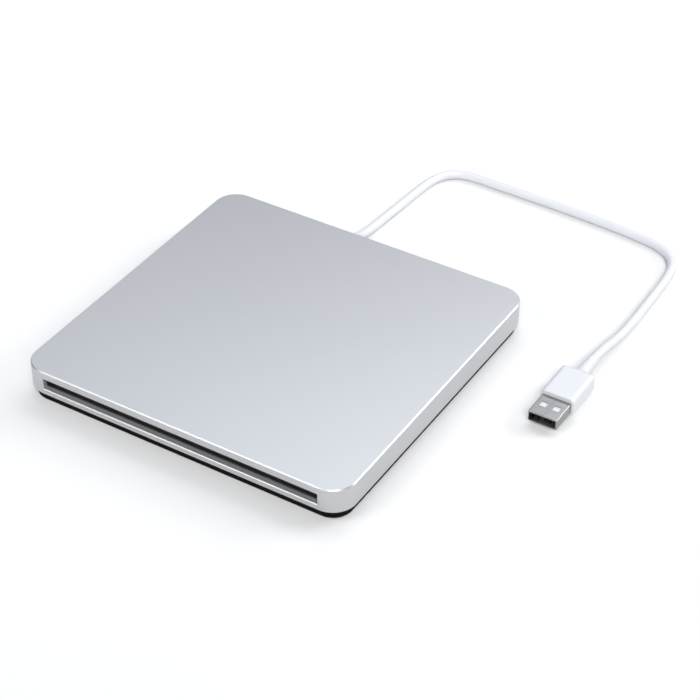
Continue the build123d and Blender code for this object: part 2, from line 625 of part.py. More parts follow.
# --- pickup unit ----------------------------------------------------------------------------------
def traverse_frame():
    """Sheet frame round the pickup's way, with ears on its pivots and a lug for the lift pin."""
    z = FRAME_Z
    half, inner = FRAME_HALF, 17.8
    right = [(16, 15.6), (16, -4.5), (inner, -6), (inner, -13.1), (half, -13.4), (half, -65.5), (15.5, -69)]
    plate = prism(right + [(-x, y) for x, y in reversed(right)], z)
    window_end = -LENS_IN - SLED_TRAVEL - 6.4
    plate -= block((-inner, inner), (window_end, -15.2), (0, 9))
    plate += block((-13.4, 13.4), (window_end - SHEET, window_end), (z[0], 7.0))
    plate += block((-half, -half + SHEET), (-62, -14), (z[0], 7.0))
    for side in (-1, 1):
        x = side * PIVOT_X
        plate -= block((x - 1.7, x + 1.7), (-70, window_end - SHEET - 0.1), (0, 9))
        for ear in (-1, 1):
            low = x + ear * 1.7
            plate += block(sorted((low, low + ear * SHEET)), (-68.6, -65.6), (z[0], PIVOT_Z + 1.2))
        plate -= rod_x((x - 3, x + 3), -PIVOT_D, PIVOT_Z, PIVOT_PIN_R)
        plate -= rod_room(side)
    lug = block((0.4, 3.6), (16.6, 18.4), (z[0], LIFT_PIN[1] + 1.4))
    tab = prism([(-3.5, 10), (3.6, 12), (3.6, 18.4), (-3.5, 18.4)], z)
    plate += LEVEL.inverse() * (tab + lug - rod_y(LIFT_PIN[0], (15, 20), LIFT_PIN[1], LIFT_PIN_R))
    plate -= post(0, 0, (0, 9), 12.4)
    return pickup_place(plate)


def rod_room(side):
    """Room for a guide rod in what holds it."""
    return rod_y(side * ROD_X, (ROD_Y[0] - 0.1, ROD_Y[1] + 0.1), ROD_Z, ROD_R + 0.02)


def traverse_pins():
    """Two pivot pins at the outer end and the pin that the cross slider lifts."""
    pins = []
    for x in (-PIVOT_X, PIVOT_X):
        pins.append(rod_x((x - 2.3, x + 2.3), -PIVOT_D, PIVOT_Z, PIVOT_PIN_R))
    pins.append(LEVEL.inverse() * rod_y(LIFT_PIN[0], (16.6, CAM_WALL[1]), LIFT_PIN[1], LIFT_PIN_R))
    return group(pickup_place(pin) for pin in pins)


def rod_holders():
    pieces = []
    for side in (-1, 1):
        for y in ((-67.6, -65.3), (-13.3, -10.6)):
            clamp = block(sorted((side * 13.9, side * 17.2)), y, (FRAME_Z[1], 7.4))
            pieces.append(pickup_place(clamp - rod_room(side)))
    return group(pieces)


def guide_rods():
    return group(pickup_place(rod_y(side * ROD_X, ROD_Y, ROD_Z, ROD_R)) for side in (-1, 1))


def spindle_base():
    return pickup_place(post(0, 0, PLATE_UNDER_Z, 15.0) - post(0, 0, (4, 6), BEARING_R + GAP))


def spindle_bearing():
    """Sleeve with a closed foot that the shaft turns in."""
    sleeve = post(0, 0, (4.6, 6.8), BEARING_R) - post(0, 0, (4.9, 7), SHAFT_R + GAP / 2)
    return pickup_place(sleeve)


def spindle_stator():
    """Laminated core with an arm and a shoe at each pole."""
    z = (5.5, 6.1)
    core = post(0, 0, z, 5.2)
    arm = block((4, 9.0), (-0.8, 0.8), z) + block((8.6, 9.6), (-2.4, 2.4), z)
    for i in range(POLES):
        core += Rot(0, 0, 360 / POLES * i) * arm
    core &= post(0, 0, z, 9.6)
    return pickup_place(core - post(0, 0, (4, 8), 2.5))


def stator_coils():
    coil = block((5.6, 8.2), (-1.35, 1.35), (5.15, 6.5)) - block((5, 9), (-0.82, 0.82), (5.48, 6.12))
    return group(pickup_place(Rot(0, 0, 360 / POLES * i) * coil) for i in range(POLES))


def turntable():
    """Motor rotor and disc table, pressed from one piece."""
    cup = post(0, 0, (5.25, CUP_TOP), CUP_R) - post(0, 0, (5, CUP_TOP - 0.4), CUP_R - CUP_WALL)
    table = cup + post(0, 0, (CUP_TOP, TABLE_TOP), TABLE_R)
    return pickup_place(table - post(0, 0, (6, 9), SHAFT_R))


def rotor_magnet():
    return pickup_place(post(0, 0, (5.35, 6.9), CUP_R - CUP_WALL) - post(0, 0, (5, 7), 10.1))


def spindle_shaft():
    return pickup_place(post(0, 0, (4.95, 9.0), SHAFT_R))


def turntable_ring():
    """Rubber ring on the table that the disc lies on."""
    return pickup_place(post(0, 0, (TABLE_TOP, DISC_Z), 13.2) - post(0, 0, (7, 9), 11.2))


def centring_hub():
    hub = post(0, 0, (TABLE_TOP, 10.1), 7.2)
    hub = chamfer(hub.edges().sort_by(Axis.Z)[-1:], 0.8)
    hub -= post(0, 0, (7, 9.1), SHAFT_R)
    for i in range(3):
        hub -= Rot(0, 0, 120 * i) * block((4.6, 8), (-1.3, 1.3), (8.2, 9.6))
    return pickup_place(hub)


def hub_claws():
    """Three sprung catches that hold the disc on the hub."""
    outline = [(4.7, 8.3), (6.3, 8.3), (7.6, 9.15), (7.6, 9.3), (6.6, 9.5), (4.7, 9.5)]
    face = make_face(Polyline(*[(x, 0, z) for x, z in outline], close=True))
    claw = extrude(face, amount=1.15, both=True)
    return group(pickup_place(Rot(0, 0, 120 * i) * claw) for i in range(3))


def pickup_body():
    """Sled with a bushed arm on one rod, a forked arm on the other and a well for the lens."""
    y = (-LENS_IN - 6, -LENS_IN + 8)
    body = block((-13.5, 13.5), y, SLED_Z)
    for side in (-1, 1):
        body += block(sorted((side * 13, side * 17.2)), (y[0] + 1, y[1] - 1), (4.5, 7.2))
        body -= rod_y(side * ROD_X, (y[0] - 1, y[1] + 1), ROD_Z, ROD_R + GAP)
    body -= block((ROD_X, 18), (y[0] - 1, y[1] + 1), (ROD_Z - ROD_R - GAP, ROD_Z + ROD_R + GAP))
    body -= block((-7.5, 7.5), (-LENS_IN - 5, -LENS_IN + 5), (4.9, 9))
    return pickup_place(body)


def focus_magnets():
    pieces = []
    for side in (-1, 1):
        x = sorted((side * 5.7, side * 7.2))
        pieces.append(pickup_place(block(x, (-LENS_IN - 3.4, -LENS_IN + 3.4), (4.9, 7.0))))
    return group(pieces)


def lens_holder():
    holder = block((-4.6, 4.6), (-LENS_IN - 3.6, -LENS_IN + 3.6), (5.4, 7.2))
    holder = fillet(holder.edges().filter_by(Axis.Z), 0.8)
    holder -= post(0, -LENS_IN, (5, 8), 1.7)
    holder -= post(0, -LENS_IN, (6.9, 8), 2.2)
    return pickup_place(holder)


def objective_lens():
    flat = post(0, 0, (6.92, 7.1), 2.1)
    dome = (Pos(0, 0, 7.1 - 2.9) * Sphere(3.5)) & post(0, 0, (7.1, 8), 1.9)
    return pickup_place(Pos(0, -LENS_IN) * (flat + dome))


def screw_follower():
    """Arm on the pickup with a tooth in the lead screw's groove."""
    y = (-LENS_IN - 3, -LENS_IN + 3)
    arm = block((10, 20.2), y, (7.3, 7.8)) + block((19.6, 20.2), y, (5.9, 7.8))
    arm += block((20.1, 20.85), (-LENS_IN - 0.3, -LENS_IN + 0.3), (SCREW_Z - 0.35, SCREW_Z + 0.35))
    return pickup_place(arm)


def lead_screw():
    """Screw with plain ends; its thread starts so that the follower's tooth is in the groove."""
    length = SCREW_PITCH * SCREW_TURNS
    journal = 1.6
    core = post(0, 0, (0, length + journal + 4.5), SCREW_CORE_R)
    ridge = Pos(0, 0, journal) * thread(SCREW_PITCH, SCREW_TURNS, SCREW_CORE_R, SCREW_TIP_R, 0.75, 0.55)
    facing_follower = Rot(0, 0, 180) * (core + ridge)
    return pickup_place(Pos(SCREW_X, SCREW_OUTER_END, SCREW_Z) * Rot(-90, 0, 0) * facing_follower)


def screw_bracket():
    """Strip under the lead screw, with a bearing wall at each end and a foot for the sled motor."""
    strip = block((17.9, 23.0), (-61.2, -1.0), PLATE_UNDER_Z)
    strip += block((18.2, 24.8), (-13.8, -1.0), PLATE_UNDER_Z)
    for y in ((-60.8, -60.2), (-14.1, -13.5)):
        strip += block((20.45, 23.0), y, (PLATE_UNDER_Z[0], 7.9))
    strip -= rod_y(SCREW_X, (-64, -12), SCREW_Z, SCREW_CORE_R + GAP)
    return pickup_place(strip)


def sled_motor():
    y = (-12.9, -1.2)
    can = rod_y(SCREW_X, y, SCREW_Z, 3.1) & block((18, 25.5), y, (PLATE_UNDER_Z[1], 8.15))
    can -= rod_y(SCREW_X, (-14, -8), SCREW_Z, SCREW_CORE_R + GAP)
    return pickup_place(can)


# --- boards ---------------------------------------------------------------------------------------
def main_board():
    board = block(BOARD_X, BOARD_Y, (BOARD_Z, BOARD_Z + BOARD_T))
    board -= block((24, 31), (35, 44), (4, 6))
    for x, y in BOARD_POSTS:
        board -= post(x, y, (4, 6), 0.75)
    return board


def board_chips():
    """Chips of both boards: width, depth, x and y of each."""
    on_main = ((11, 11, -14, 49), (7, 5, 0, 42), (6, 6, 12, 49), (4, 5, -25, 45))
    on_bridge = ((5, 5, -6, 63.8), (4, 3, 10, 63.8), (3.2, 2.5, -15, 63.8), (6, 3.4, 24, 63.8))
    pieces = []
    for top, chips in ((BOARD_Z + BOARD_T, on_main), (BRIDGE_Z + BOARD_T, on_bridge)):
        for w, d, x, y in chips:
            pieces.append(rounded(w, d, 0.25, (top, top + CHIP_H), x=x, y=y))
    return group(pieces)


def drive_plug():
    """The drive's own connector, through the chassis' rear wall."""
    x0, x1 = DRIVE_PLUG_X
    body = block((x0, x1), (55.2, 61.6), (BOARD_Z + BOARD_T, 8.2))
    return body - block((x0 + 1, x1 - 1), (60.2, 62), (5.8, 7.6))


def bridge_board():
    return block((-28, 34), (60.5, 67.2), (BRIDGE_Z, BRIDGE_Z + BOARD_T))


def bridge_socket():
    x0, x1 = DRIVE_PLUG_X
    """Socket under the bridge board, with a blade in the drive's connector."""
    body = block((x0 - 1, x1 + 1), (61.7, 66.6), (6.4, BRIDGE_Z))
    return body + block((x0 + 1.3, x1 - 1.3), (60.4, 61.8), (6.5, 7.2))


# --- cord and plug --------------------------------------------------------------------------------
def cable_grommet():
    """Strain relief: a flange inside the case, a neck in the wall and a tapered sleeve outside."""
    inner, outer, end = CASE_D / 2 - SIDE_WALL, CASE_D / 2, CORD_ROUTE[0][1]
    flange = rod_y(CORD_EXIT_X, (inner - 3.2, inner - 1.6), CORD_EXIT_Z, 3.0)
    neck = rod_y(CORD_EXIT_X, (inner - 1.7, outer + 0.1), CORD_EXIT_Z, GROMMET_R)
    sleeve = loft([Plane.XZ.offset(-outer) * Pos(CORD_EXIT_X, CORD_EXIT_Z) * Circle(2.9),
                   Plane.XZ.offset(-end) * Pos(CORD_EXIT_X, CORD_EXIT_Z) * Circle(2.2)])
    return flange + neck + sleeve


def cord_radii():
    """As large an arc at each corner of the route as its two runs allow."""
    points = [Vector(*p) for p in CORD_ROUTE]
    radii = []
    for before, at, after in zip(points, points[1:], points[2:]):
        turn = (at - before).get_angle(after - at)
        run = min((at - before).length, (after - at).length)
        radii.append(0.45 * run / math.tan(math.radians(turn / 2)))
    return radii


def cord():
    path = FilletPolyline(*CORD_ROUTE, radius=cord_radii())
    start = Plane(origin=path @ 0, z_dir=path % 0)
    tube = sweep(start * Circle(CORD_D / 2), path=path)
    print("cord length", round(path.length, 1), "section x length",
          round(math.pi * CORD_D ** 2 / 4 * path.length, 1), "volume", round(tube.volume, 1))
    print("cord radii", [round(r, 1) for r in cord_radii()])
    return tube


def plug_overmould():
    outline = Plane.XZ.offset(-MOULD_REAR) * Pos(PLUG_X, PLUG_Z) * RectangleRounded(MOULD_W, MOULD_H, 2.0)
    mould = extrude(outline, amount=MOULD_REAR - MOULD_FRONT)
    mould = fillet(mould.faces().sort_by(Axis.Y)[-1].edges(), 0.9)
    mould = fillet(mould.faces().sort_by(Axis.Y)[0].edges(), 0.4)
    collar = loft([Plane.XZ.offset(-MOULD_REAR + 0.5) * Pos(PLUG_X, PLUG_Z) * RectangleRounded(8.0, 6.0, 2.6),
                   Plane.XZ.offset(-MOULD_REAR - 2.6) * Pos(PLUG_X, PLUG_Z) * Circle(2.55)])
    neck = loft([Plane.XZ.offset(-MOULD_REAR - 2.5) * Pos(PLUG_X, PLUG_Z) * Circle(2.5),
                 Plane.XZ.offset(-NECK_END) * Pos(PLUG_X, PLUG_Z) * Circle(2.3)])
    return mould + collar + neck - shell_block((MOULD_FRONT - 1, SHELL_REAR))


def shell_block(y, wall=0.0):
    """The plug shell's outside, or its inside with a wall, over a stretch of y."""
    w, h = SHELL_W / 2 - wall, SHELL_H / 2 - wall
    return block((PLUG_X - w, PLUG_X + w), y, (PLUG_Z - h, PLUG_Z + h))


def plug_shell():
    """Folded sheet shell, open at the front, with two windows above and below and a locked seam."""
    shell = shell_block((PLUG_FRONT, SHELL_REAR))
    shell = fillet(shell.edges().filter_by(Axis.Y), 0.4)
    shell = fillet(shell.faces().sort_by(Axis.Y)[0].edges(), SHELL_LIP - 0.05)
    shell -= shell_block((PLUG_FRONT + SHELL_LIP, SHELL_REAR - SHELL_WALL), SHELL_WALL)
    shell -= shell_block((PLUG_FRONT - 1, PLUG_FRONT + 1), SHELL_LIP)
    for side in (-1, 1):
        middle = PLUG_X + side * WINDOW_X
        shell -= block((middle - WINDOW_HALF, middle + WINDOW_HALF), WINDOW_Y, (0, 8))
    return shell - shell_seam()


def shell_seam():
    """Groove along the fold's joint, with a dovetail that locks it."""
    top = PLUG_Z + SHELL_H / 2
    corners = [(0, 0), (0, 2.4), (0.75, 2.1), (0.75, 3.7), (0, 3.4), (0, MOULD_FRONT - PLUG_FRONT + 1)]
    points = [(PLUG_X + x, PLUG_FRONT + y - 0.5) for x, y in corners]
    groove = None
    for (x0, y0), (x1, y1) in zip(points, points[1:]):
        length = math.hypot(x1 - x0, y1 - y0)
        turn = math.degrees(math.atan2(y1 - y0, x1 - x0))
        run = block((-SEAM_HALF, length + SEAM_HALF), (-SEAM_HALF, SEAM_HALF), (top - SEAM_DEPTH, top + 1))
        run = Pos(x0, y0) * Rot(0, 0, turn) * run
        groove = run if groove is None else groove + run
    return groove


def plug_tongue():
    top = PLUG_Z + SHELL_H / 2 - SHELL_WALL
    half = SHELL_W / 2 - SHELL_WALL - GAP
    return block((PLUG_X - half, PLUG_X + half), (TONGUE_FRONT, SHELL_REAR - 0.4), (top - TONGUE_T, top))


def plug_contacts():
    """Power contacts outside, data contacts inside and a little further back."""
    top = PLUG_Z + SHELL_H / 2 - SHELL_WALL - TONGUE_T
    pieces = []
    for x, back in ((-3.5, 0.6), (-1.0, 1.6), (1.0, 1.6), (3.5, 0.6)):
        middle = PLUG_X + x
        pieces.append(block((middle - 0.5, middle + 0.5), (TONGUE_FRONT + back, MOULD_FRONT + 4),
                            (top - 0.25, top)))
    return group(pieces)


NODES = [
    top_shell, bottom_cover, base_pad, case_screws, slot_felts, drive_chassis, drive_lid, lid_screws,
    drive_brackets, bracket_bushes, bracket_screws, chassis_screws, disc_guide, loading_motor, motor_clip,
    motor_worm, drive_gear, gear_pin, main_slider, cross_slider, slider_guides, lever_pivots, link_lever,
    eject_lever, loading_lever, eject_roller, loading_roller, traverse_frame, traverse_pins, rod_holders,
    guide_rods, spindle_base, spindle_bearing, spindle_stator, stator_coils, turntable, rotor_magnet,
    spindle_shaft, turntable_ring, centring_hub, hub_claws, pickup_body, focus_magnets, lens_holder,
    objective_lens, screw_follower, lead_screw, screw_bracket, sled_motor, main_board,
    board_chips, drive_plug, bridge_board, bridge_socket, cable_grommet, cord, plug_overmould, plug_shell,
    plug_tongue, plug_contacts,
]

for make in NODES:
    export_step(make(), f"parts/{make.__name__}.step")
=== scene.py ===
"""External slot-loading optical drive: materials, soft pieces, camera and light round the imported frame.

Metres, unless a comment says millimetres.
"""
import json
import math
import random

import bpy
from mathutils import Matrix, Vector


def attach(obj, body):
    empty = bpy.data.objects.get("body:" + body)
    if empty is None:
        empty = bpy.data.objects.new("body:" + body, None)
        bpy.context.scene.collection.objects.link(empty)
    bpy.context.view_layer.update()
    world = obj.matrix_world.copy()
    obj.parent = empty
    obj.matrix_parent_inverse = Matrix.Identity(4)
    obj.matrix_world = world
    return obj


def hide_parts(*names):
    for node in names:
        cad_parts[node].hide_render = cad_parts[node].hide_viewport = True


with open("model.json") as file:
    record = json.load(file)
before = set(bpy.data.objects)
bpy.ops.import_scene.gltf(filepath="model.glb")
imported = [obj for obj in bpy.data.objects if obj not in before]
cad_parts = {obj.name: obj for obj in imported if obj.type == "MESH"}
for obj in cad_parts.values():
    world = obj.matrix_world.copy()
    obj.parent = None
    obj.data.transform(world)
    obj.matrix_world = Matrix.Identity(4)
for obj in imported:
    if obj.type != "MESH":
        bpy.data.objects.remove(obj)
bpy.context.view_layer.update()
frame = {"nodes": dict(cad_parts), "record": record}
nodes = frame["nodes"]
MM = 0.001

# --- camera ---------------------------------------------------------------------------------------
CAMERA_AZIMUTH = math.radians(31.71)
CAMERA_ELEVATION = math.radians(38.18)
CAMERA_DISTANCE = 0.771
CAMERA_AIM = Vector((0.0200, 0.0187, 0.0))
CAMERA_LENS = 101.67    # millimetres
CAMERA_SENSOR = 36.0    # width, millimetres
CAMERA_CLIP = (0.01, 20.0)


def make_camera():
    data = bpy.data.cameras.new("camera")
    data.lens = CAMERA_LENS
    data.sensor_width = CAMERA_SENSOR
    data.clip_start, data.clip_end = CAMERA_CLIP
    camera = bpy.data.objects.new("camera", data)
    bpy.context.scene.collection.objects.link(camera)
    level = math.cos(CAMERA_ELEVATION)
    back = Vector((math.sin(CAMERA_AZIMUTH) * level, -math.cos(CAMERA_AZIMUTH) * level,
                   math.sin(CAMERA_ELEVATION)))
    camera.location = CAMERA_AIM + back * CAMERA_DISTANCE
    camera.rotation_euler = (-back).to_track_quat("-Z", "Y").to_euler()
    bpy.context.scene.camera = camera


# --- cord -----------------------------------------------------------------------------------------
CORD_RADIUS = 1.9 * MM
CORD_STEPS = 16         # between two points of the route
CORD_ROUNDNESS = 8      # bevel resolution
CORD_ROUTE = [          # millimetres, from the grommet to the plug's neck
    (-15.2, 72.5, 5.4), (-15.2, 77.0, 5.4), (-15.0, 85.0, 2.3), (-14.3, 95.0, 1.9), (-13.4, 109.0, 1.9),
    (-12.4, 125.0, 1.9), (-11.4, 136.5, 1.9), (-7.9, 145.0, 1.9), (0.0, 149.0, 1.9), (13.0, 148.6, 1.9),
    (36.0, 148.3, 1.9), (63.0, 147.2, 1.9), (84.0, 145.4, 1.9), (96.4, 143.0, 1.9), (104.2, 136.0, 1.9),
    (106.3, 125.4, 1.9), (106.7, 108.0, 1.9), (107.0, 89.0, 1.9), (106.6, 78.0, 2.1), (105.5, 67.0, 3.8),
    (105.3, 58.2, 4.0),
]


def make_cord(material):
    curve = bpy.data.curves.new("cord_line", "CURVE")
    curve.dimensions = "3D"
    spline = curve.splines.new("NURBS")
    spline.points.add(len(CORD_ROUTE) - 1)
    for point, place in zip(spline.points, CORD_ROUTE):
        point.co = (*(x * MM for x in place), 1.0)
    spline.order_u = 3
    spline.use_endpoint_u = True
    spline.resolution_u = CORD_STEPS
    curve.bevel_depth = CORD_RADIUS
    curve.bevel_resolution = CORD_ROUNDNESS
    curve.use_fill_caps = True
    cord = bpy.data.objects.new("cord_lead", curve)
    bpy.context.scene.collection.objects.link(cord)
    curve.materials.append(material)
    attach(cord, "case")
    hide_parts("cord")


# --- materials ------------------------------------------------------------------------------------
class Surface:
    """A principled material whose colour, roughness and relief are worked out in its nodes."""

    def __init__(self, name, colour, roughness, metallic=0.0, **sockets):
        self.material = bpy.data.materials.new(name)
        self.material.use_nodes = True
        self.tree = self.material.node_tree
        self.shader = self.tree.nodes["Principled BSDF"]
        self.set("Base Color", (*colour, 1.0))
        self.set("Roughness", roughness)
        self.set("Metallic", metallic)
        for name, value in sockets.items():
            self.set(name.replace("_", " ").title().replace("Ior", "IOR"), value)
        self.coordinates = self.node("ShaderNodeTexCoord").outputs["Object"]

    def set(self, socket, value):
        self.shader.inputs[socket].default_value = value

    def node(self, kind, **settings):
        made = self.tree.nodes.new(kind)
        for name, value in settings.items():
            setattr(made, name, value)
        return made

    def link(self, source, target):
        self.tree.links.new(source, target)

    def stretched(self, stretch):
        """Object coordinates, made longer along some axes."""
        mapping = self.node("ShaderNodeMapping", vector_type="TEXTURE")
        mapping.inputs["Scale"].default_value = stretch
        self.link(self.coordinates, mapping.inputs["Vector"])
        return mapping.outputs["Vector"]

    def noise(self, size, detail=2.0, stretch=None):
        """Noise from 0 to 1 with spots of that size."""
        texture = self.node("ShaderNodeTexNoise")
        texture.inputs["Scale"].default_value = 1.0 / size
        texture.inputs["Detail"].default_value = detail
        place = self.stretched(stretch) if stretch else self.coordinates
        self.link(place, texture.inputs["Vector"])
        return texture.outputs["Fac"]

    def cells(self, size):
        """Distances in cells of that size."""
        texture = self.node("ShaderNodeTexVoronoi", feature="F1")
        texture.inputs["Scale"].default_value = 1.0 / size
        self.link(self.coordinates, texture.inputs["Vector"])
        return texture.outputs["Distance"]

    def bands(self, size, distortion):
        """Stripes along X that repeat over that size."""
        texture = self.node("ShaderNodeTexWave", wave_type="BANDS", bands_direction="X")
        texture.inputs["Scale"].default_value = math.pi / (10 * size)
        texture.inputs["Distortion"].default_value = distortion
        self.link(self.coordinates, texture.inputs["Vector"])
        return texture.outputs["Fac"]

    def step(self, source, low, high):
        """0 below low and 1 above high."""
        ramp = self.node("ShaderNodeMapRange", clamp=True)
        ramp.inputs["From Min"].default_value = low
        ramp.inputs["From Max"].default_value = high
        self.link(source, ramp.inputs["Value"])
        return ramp.outputs["Result"]

    def tint(self, source, low_colour, high_colour):
        """Base colour between two colours."""
        mix = self.node("ShaderNodeMix", data_type="RGBA")
        sides = [entry for entry in mix.inputs if entry.type == "RGBA"]
        for side, colour in zip(sides, (low_colour, high_colour)):
            side.default_value = (*colour, 1.0)
        self.link(source, mix.inputs["Factor"])
        result = next(o for o in mix.outputs if o.type == "RGBA")
        self.link(result, self.shader.inputs["Base Color"])

    def gloss(self, source, low, high):
        """Roughness between two values."""
        ramp = self.node("ShaderNodeMapRange", clamp=True)
        ramp.inputs["To Min"].default_value = low
        ramp.inputs["To Max"].default_value = high
        self.link(source, ramp.inputs["Value"])
        self.link(ramp.outputs["Result"], self.shader.inputs["Roughness"])

    def relief(self, source, depth):
        """Bump of that depth."""
        bump = self.node("ShaderNodeBump")
        bump.inputs["Distance"].default_value = depth
        self.link(source, bump.inputs["Height"])
        self.link(bump.outputs["Normal"], self.shader.inputs["Normal"])


def anodised_aluminium():
    """Bead-blasted and anodised: a fine even grain with slow, very slight changes of tone."""
    s = Surface("anodised_aluminium", (0.518, 0.525, 0.536), 0.38, metallic=0.66)
    s.tint(s.noise(30 * MM, 2.0), (0.510, 0.518, 0.530), (0.526, 0.532, 0.542))
    s.gloss(s.noise(0.5 * MM, 3.0), 0.35, 0.41)
    s.relief(s.noise(0.16 * MM, 2.0), 0.003 * MM)
    return s


def black_plastic():
    """Moulded with a spark-eroded grain."""
    s = Surface("black_plastic", (0.003, 0.003, 0.003), 0.7, specular_ior_level=0.07)
    s.tint(s.noise(6 * MM, 3.0), (0.002, 0.002, 0.002), (0.004, 0.004, 0.0045))
    s.gloss(s.noise(0.8 * MM, 3.0), 0.62, 0.78)
    s.relief(s.noise(0.25 * MM, 3.0), 0.02 * MM)
    return s


def black_rubber():
    s = Surface("black_rubber", (0.01, 0.01, 0.011), 0.8, specular_ior_level=0.25)
    s.tint(s.noise(9 * MM, 4.0), (0.008, 0.008, 0.009), (0.014, 0.014, 0.015))
    s.gloss(s.noise(1.5 * MM, 3.0), 0.70, 0.88)
    s.relief(s.noise(0.3 * MM, 3.0), 0.02 * MM)
    return s


def felt():
    s = Surface("felt", (0.02, 0.02, 0.02), 0.95, sheen_weight=0.6, sheen_roughness=0.5)
    s.tint(s.noise(0.4 * MM, 4.0), (0.008, 0.008, 0.009), (0.03, 0.03, 0.031))
    s.relief(s.noise(0.1 * MM, 4.0), 0.05 * MM)
    return s


def screw_steel():
    """Zinc plate with a fine uneven skin."""
    s = Surface("screw_steel", (0.42, 0.42, 0.43), 0.35, metallic=1.0)
    s.tint(s.noise(0.8 * MM, 3.0), (0.34, 0.34, 0.35), (0.5, 0.5, 0.51))
    s.gloss(s.noise(0.2 * MM, 3.0), 0.25, 0.45)
    s.relief(s.noise(0.12 * MM, 3.0), 0.005 * MM)
    return s


def sheet_steel():
    """Galvanised sheet: pale spangles and rolling marks along Y."""
    s = Surface("sheet_steel", (0.55, 0.56, 0.57), 0.4, metallic=1.0)
    s.tint(s.cells(3.5 * MM), (0.50, 0.51, 0.53), (0.62, 0.63, 0.64))
    s.gloss(s.noise(0.25 * MM, 3.0, stretch=(1.0, 30.0, 1.0)), 0.30, 0.48)
    s.relief(s.noise(0.2 * MM, 2.0, stretch=(1.0, 30.0, 1.0)), 0.004 * MM)
    return s


def ground_steel():
    s = Surface("ground_steel", (0.7, 0.7, 0.72), 0.18, metallic=1.0)
    s.tint(s.noise(4 * MM, 2.0), (0.66, 0.66, 0.68), (0.74, 0.74, 0.75))
    s.gloss(s.noise(0.15 * MM, 2.0), 0.12, 0.24)
    s.relief(s.noise(0.08 * MM, 2.0), 0.001 * MM)
    return s


def rotor_steel():
    """Pressed and plated, with a fine grain."""
    s = Surface("rotor_steel", (0.5, 0.5, 0.52), 0.32, metallic=1.0)
    s.tint(s.noise(5 * MM, 3.0), (0.46, 0.46, 0.48), (0.56, 0.56, 0.57))
    s.gloss(s.noise(0.3 * MM, 3.0), 0.26, 0.38)
    s.relief(s.noise(0.15 * MM, 2.0), 0.003 * MM)
    return s


def magnet():
    """Dark plated magnet, a little blotchy."""
    s = Surface("magnet", (0.12, 0.12, 0.13), 0.45, metallic=0.6)
    s.tint(s.noise(1.2 * MM, 4.0), (0.08, 0.08, 0.085), (0.17, 0.17, 0.18))
    s.relief(s.noise(0.2 * MM, 3.0), 0.01 * MM)
    return s


def brass():
    s = Surface("brass", (0.72, 0.52, 0.24), 0.3, metallic=1.0)
    s.tint(s.noise(2 * MM, 3.0), (0.66, 0.46, 0.20), (0.78, 0.58, 0.30))
    s.gloss(s.noise(0.3 * MM, 3.0), 0.22, 0.40)
    s.relief(s.noise(0.1 * MM, 2.0), 0.003 * MM)
    return s


def copper():
    """Enamelled wire in close windings, with painted shade in the grooves between them."""
    s = Surface("copper", (0.72, 0.33, 0.16), 0.35, metallic=0.9)
    windings_and_groove_shade = s.bands(0.14 * MM, distortion=0.4)
    # Colour goes dark where the relief is low: painted shade in the grooves between windings.
    s.tint(windings_and_groove_shade, (0.35, 0.13, 0.06), (0.80, 0.38, 0.18))
    s.relief(windings_and_groove_shade, 0.04 * MM)
    return s


def white_acetal():
    s = Surface("white_acetal", (0.82, 0.82, 0.79), 0.42, subsurface_weight=0.06)
    s.set("Subsurface Radius", (0.001, 0.001, 0.0008))
    s.tint(s.noise(5 * MM, 3.0), (0.78, 0.78, 0.74), (0.86, 0.86, 0.84))
    s.gloss(s.noise(0.7 * MM, 3.0), 0.34, 0.48)
    s.relief(s.noise(0.4 * MM, 2.0), 0.006 * MM)
    return s


def black_acetal():
    s = Surface("black_acetal", (0.02, 0.02, 0.022), 0.38)
    s.tint(s.noise(4 * MM, 3.0), (0.015, 0.015, 0.017), (0.028, 0.028, 0.03))
    s.gloss(s.noise(0.6 * MM, 3.0), 0.30, 0.46)
    s.relief(s.noise(0.3 * MM, 2.0), 0.008 * MM)
    return s


def diecast():
    """Cast zinc with a slightly sandy skin."""
    s = Surface("diecast", (0.38, 0.38, 0.39), 0.5, metallic=1.0)
    s.tint(s.noise(1.5 * MM, 4.0), (0.32, 0.32, 0.33), (0.44, 0.44, 0.45))
    s.gloss(s.noise(0.4 * MM, 3.0), 0.42, 0.60)
    s.relief(s.noise(0.22 * MM, 4.0), 0.02 * MM)
    return s


def lens_glass():
    """Clear lens with a violet coat."""
    s = Surface("lens_glass", (0.86, 0.88, 0.97), 0.03, transmission_weight=0.92, ior=1.52)
    s.set("Coat Weight", 0.6)
    s.set("Coat Tint", (0.72, 0.62, 1.0, 1.0))
    s.tint(s.noise(0.8 * MM, 2.0), (0.84, 0.86, 0.96), (0.88, 0.90, 0.99))
    s.relief(s.noise(0.3 * MM, 1.0), 0.0005 * MM)
    return s


def circuit_board():
    """Green solder mask over darker laminate, with the tracks showing through."""
    s = Surface("circuit_board", (0.02, 0.16, 0.07), 0.35)
    texture = s.node("ShaderNodeTexVoronoi", feature="F1", distance="MANHATTAN")
    texture.inputs["Scale"].default_value = 1.0 / (2.2 * MM)
    texture.inputs["Randomness"].default_value = 0.7
    s.link(s.coordinates, texture.inputs["Vector"])
    echo = s.node("ShaderNodeMath", operation="PINGPONG")
    echo.inputs[1].default_value = 0.12
    s.link(texture.outputs["Distance"], echo.inputs[0])
    tracks = s.step(echo.outputs[0], 0.05, 0.07)
    s.tint(tracks, (0.010, 0.085, 0.040), (0.020, 0.165, 0.075))
    s.gloss(s.noise(1.0 * MM, 3.0), 0.26, 0.42)
    s.relief(tracks, 0.03 * MM)
    return s


def chip_plastic():
    s = Surface("chip_plastic", (0.03, 0.03, 0.032), 0.55)
    s.tint(s.noise(1.5 * MM, 3.0), (0.022, 0.022, 0.024), (0.042, 0.042, 0.044))
    s.relief(s.noise(0.08 * MM, 3.0), 0.01 * MM)
    return s


